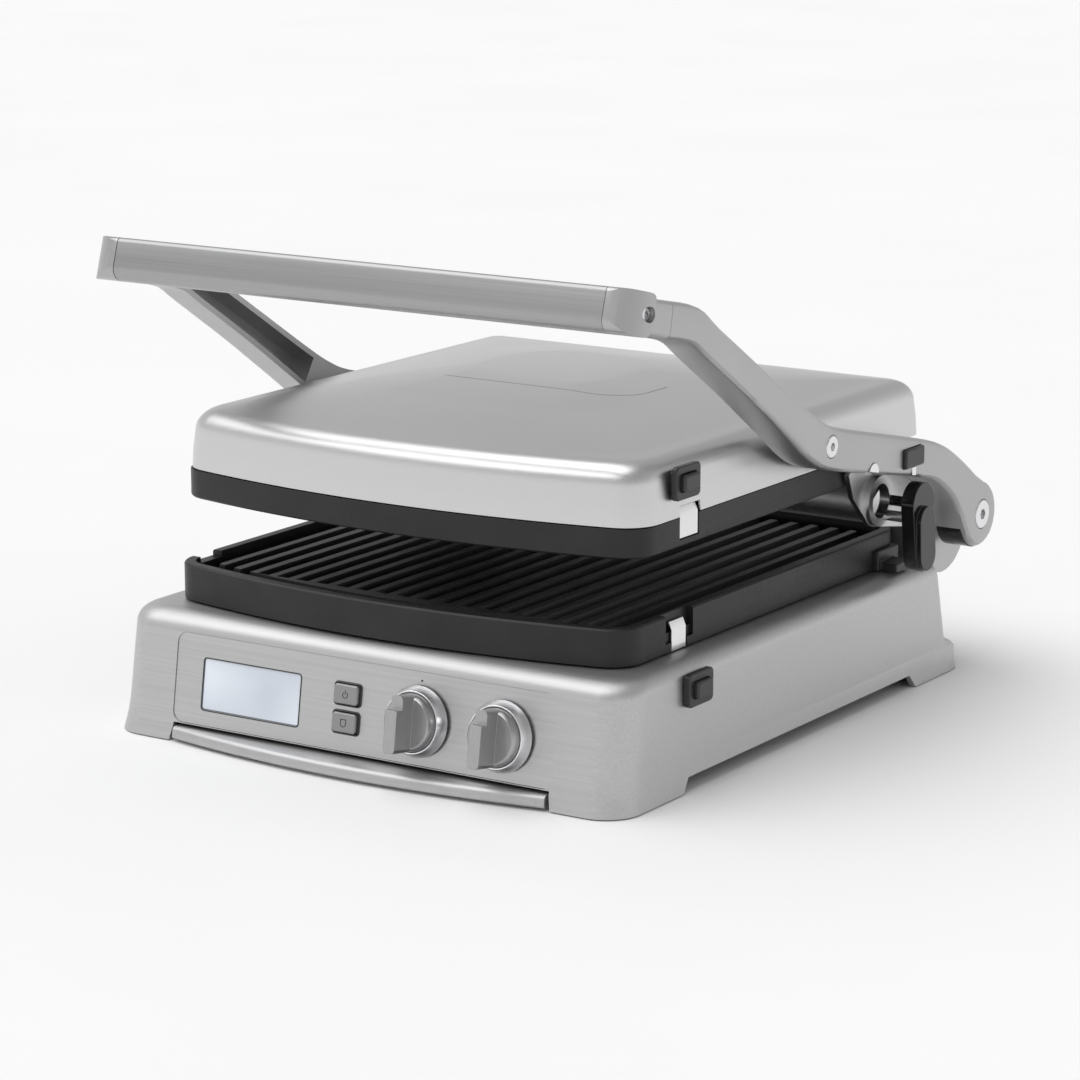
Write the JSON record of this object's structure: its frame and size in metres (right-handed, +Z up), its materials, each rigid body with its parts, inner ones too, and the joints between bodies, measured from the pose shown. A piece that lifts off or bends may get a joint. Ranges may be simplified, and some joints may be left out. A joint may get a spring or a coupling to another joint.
{
  "type": "panini press",
  "caption": "Countertop contact grill with ribbed plates, a floating lid on a U-shaped handle, rotary knobs, push buttons and a pull-out drip tray.",
  "frame": {"origin": "on the counter, under the middle of the whole press", "axes": "+Z up, +X to the user's right, -Y towards the user; the lid opens upwards and towards +Y"},
  "size_m": [0.3734, 0.4617, 0.2888],
  "materials": {
    "base_paint": "satin silver-grey paint",
    "cover_plastic": "moulded black",
    "foot_rubber": "matt",
    "tray_paint": "satin silver-grey paint",
    "panel_paint": "satin silver-grey paint",
    "lens_glass": "clear",
    "lcd_grey": "display glass",
    "board_green": "solder mask",
    "switch_steel": "plain",
    "knob_paint": "satin silver-grey paint",
    "ring_chrome": "bright plating",
    "button_grey": "satin",
    "plate_coating": "cast, dark non-stick coating",
    "element_steel": "heat-treated tube",
    "pan_steel": "plain pressed sheet",
    "bezel_plastic": "black",
    "release_plastic": "black",
    "clip_steel": "spring steel",
    "gland_rubber": "matt",
    "post_paint": "cast and painted",
    "bracket_steel": "satin",
    "barrel_steel": "satin silver",
    "axle_steel": "ground",
    "lever_plastic": "black",
    "arm_paint": "satin silver-grey paint",
    "bar_paint": "satin silver-grey paint",
    "cap_paint": "satin silver-grey paint",
    "screw_chrome": "bright plating",
    "catch_plastic": "black",
    "tongue_steel": "plain",
    "lid_steel": "brushed front to back",
    "frame_plastic": "moulded black",
    "bumper_rubber": "matt",
    "latch_plastic": "moulded black"
  },
  "bodies": {
    "base": {"base_housing": "base_paint", "bottom_cover": "cover_plastic", "foot_front_left": "foot_rubber", "foot_front_right": "foot_rubber", "foot_rear_left": "foot_rubber", "foot_rear_right": "foot_rubber", "control_panel": "panel_paint", "lcd_lens": "lens_glass", "lcd_module": "lcd_grey", "control_board": "board_green", "rotary_switch_left": "switch_steel", "rotary_switch_right": "switch_steel", "lower_plate": "plate_coating", "lower_heater": "element_steel", "lower_heat_shield": "pan_steel", "lower_release_bezel": "bezel_plastic", "cord_gland": "gland_rubber", "hinge_post_left": "post_paint", "hinge_post_right": "post_paint", "plate_latch_right": "latch_plastic", "plate_latch_left": "latch_plastic"},
    "drip_tray": {"drip_tray": "tray_paint"},
    "knob_left": {"knob_left": "knob_paint", "knob_ring_left": "ring_chrome"},
    "knob_right": {"knob_right": "knob_paint", "knob_ring_right": "ring_chrome"},
    "button_power": {"button_power": "button_grey"},
    "button_select": {"button_select": "button_grey"},
    "lower_release": {"lower_release_button": "release_plastic"},
    "lower_clip": {"lower_clip": "clip_steel"},
    "rocker": {"hinge_bracket_left": "bracket_steel", "hinge_bracket_right": "bracket_steel", "hinge_barrel": "barrel_steel", "main_axle": "axle_steel"},
    "lever": {"height_lever": "lever_plastic"},
    "handle": {"handle_arm_left": "arm_paint", "handle_arm_right": "arm_paint", "handle_bar": "bar_paint", "handle_cap_left": "cap_paint", "handle_cap_right": "cap_paint", "hinge_screw_left": "screw_chrome", "hinge_screw_right": "screw_chrome", "lid_pivot_pin_left": "screw_chrome", "lid_pivot_pin_right": "screw_chrome", "bar_screw_left": "screw_chrome", "bar_screw_right": "screw_chrome", "stop_pin_left": "screw_chrome", "stop_pin_right": "screw_chrome"},
    "catch": {"hinge_catch": "catch_plastic", "catch_tongue": "tongue_steel"},
    "lid": {"lid_shell": "lid_steel", "lid_frame": "frame_plastic", "lid_bumper": "bumper_rubber", "upper_plate": "plate_coating", "upper_heater": "element_steel", "upper_heat_shield": "pan_steel", "upper_release_bezel": "bezel_plastic"},
    "upper_release": {"upper_release_button": "release_plastic"},
    "upper_clip": {"upper_clip": "clip_steel"}
  },
  "joints": [
    {"name": "height_adjust", "type": "hinge", "parent": "base", "child": "rocker", "pos_m": [0, 0.19885, 0.097], "axis": [1, 0, 0], "range_deg": [0, 10.38]},
    {"name": "handle_hinge", "type": "hinge", "parent": "rocker", "child": "handle", "pos_m": [0, 0.19885, 0.097], "axis": [-1, 0, 0], "range_deg": [0, 150]},
    {"name": "lid_level", "type": "hinge", "parent": "handle", "child": "lid", "pos_m": [0, 0.00545, 0.1715], "axis": [-1, 0, 0], "range_deg": [0, 10.38]},
    {"name": "lever_turn", "type": "hinge", "parent": "rocker", "child": "lever", "pos_m": [0.17, 0.11725, 0.118], "axis": [-1, 0, 0], "range_deg": [0, 90]},
    {"name": "catch_press", "type": "slide", "parent": "handle", "child": "catch", "axis": [-1, 0, 0], "range_m": [0, 0.002], "stiffness_N_per_m": 400, "springref_m": -0.001},
    {"name": "drip_tray_slide", "type": "slide", "parent": "base", "child": "drip_tray", "axis": [0, -1, 0], "range_m": [0, 0.15]},
    {"name": "knob_left_turn", "type": "hinge", "parent": "base", "child": "knob_left", "pos_m": [0.0405, -0.20085, 0.03602], "axis": [0, 0.9889, -0.1483], "range_deg": [0, 270]},
    {"name": "knob_right_turn", "type": "hinge", "parent": "base", "child": "knob_right", "pos_m": [0.096, -0.20085, 0.03602], "axis": [0, 0.9889, -0.1483], "range_deg": [0, 270]},
    {"name": "button_power_press", "type": "slide", "parent": "base", "child": "button_power", "axis": [0, 0.9889, -0.1483], "range_m": [0, 0.002], "stiffness_N_per_m": 400, "springref_m": -0.001},
    {"name": "button_select_press", "type": "slide", "parent": "base", "child": "button_select", "axis": [0, 0.9889, -0.1483], "range_m": [0, 0.002], "stiffness_N_per_m": 400, "springref_m": -0.001},
    {"name": "lower_release_press", "type": "slide", "parent": "base", "child": "lower_release", "axis": [-1, 0, 0], "range_m": [0, 0.002], "stiffness_N_per_m": 600, "springref_m": -0.001},
    {"name": "lower_clip_slide", "type": "slide", "parent": "base", "child": "lower_clip", "axis": [1, 0, 0], "range_m": [0, 0.0012]},
    {"name": "upper_release_press", "type": "slide", "parent": "lid", "child": "upper_release", "axis": [-1, 0, 0], "range_m": [0, 0.002], "stiffness_N_per_m": 600, "springref_m": -0.001},
    {"name": "upper_clip_slide", "type": "slide", "parent": "lid", "child": "upper_clip", "axis": [1, 0, 0], "range_m": [0, 0.0012]}
  ],
  "couplings": [
    {"joint": "lid_level", "follows": "height_adjust", "ratio": 1},
    {"joint": "lower_clip_slide", "follows": "lower_release_press", "ratio": 0.6},
    {"joint": "upper_clip_slide", "follows": "upper_release_press", "ratio": 0.6}
  ]
}
